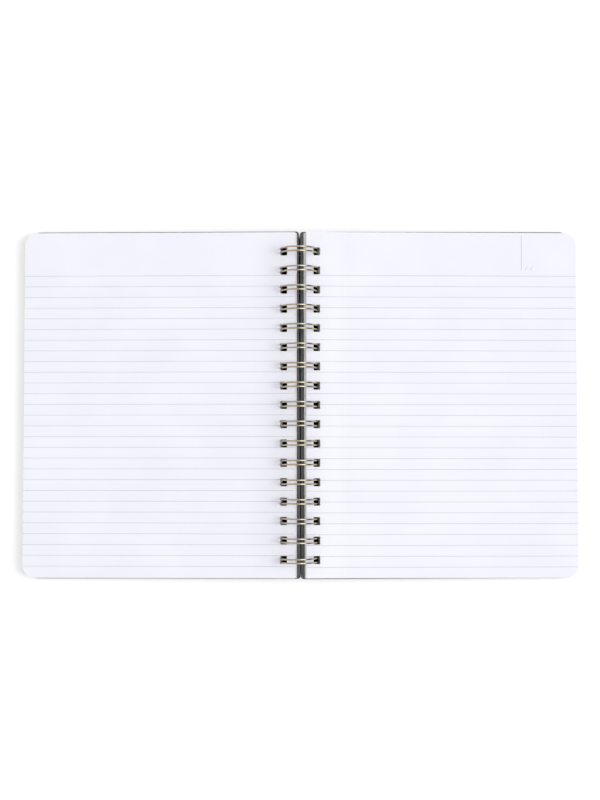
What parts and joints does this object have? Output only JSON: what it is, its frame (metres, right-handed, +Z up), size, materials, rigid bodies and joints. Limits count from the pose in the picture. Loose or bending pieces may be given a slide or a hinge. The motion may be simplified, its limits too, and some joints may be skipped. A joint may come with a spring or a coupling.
{
  "type": "open spiral notebook",
  "caption": "Ruled notebook lying open: two bundles of punched sheets on stiff covers, held by one continuous twin-loop wire.",
  "frame": {"origin": "on the surface that the notebook lies on, midway between the outer edges of its pages and between its ends", "axes": "+X across the two pages towards the back cover, +Y along the spine towards the pages' tops, +Z up"},
  "size_m": [0.3652, 0.2298, 0.0243],
  "materials": {
    "wire": "satin",
    "cover_board": "matte",
    "paper": "matte"
  },
  "bodies": {
    "binding_wire": {"binding_wire": "wire"},
    "front_cover": {"front_cover": "cover_board"},
    "front_pages": {"front_pages": "paper"},
    "back_pages": {"back_pages": "paper"},
    "back_cover": {"back_cover": "cover_board"}
  },
  "joints": [
    {"name": "front_cover_turn", "type": "hinge", "parent": "binding_wire", "child": "front_cover", "pos_m": [-0.00083, 0, 0.01215], "axis": [0, 1, 0], "range_deg": [0, 183]},
    {"name": "front_pages_turn", "type": "hinge", "parent": "front_cover", "child": "front_pages", "pos_m": [-0.00083, 0, 0.01215], "axis": [0, 1, 0], "range_deg": [0, 177]},
    {"name": "back_cover_turn", "type": "hinge", "parent": "binding_wire", "child": "back_cover", "pos_m": [-0.00083, 0, 0.01215], "axis": [0, -1, 0], "range_deg": [0, 183]},
    {"name": "back_pages_turn", "type": "hinge", "parent": "back_cover", "child": "back_pages", "pos_m": [-0.00083, 0, 0.01215], "axis": [0, -1, 0], "range_deg": [0, 177]}
  ]
}
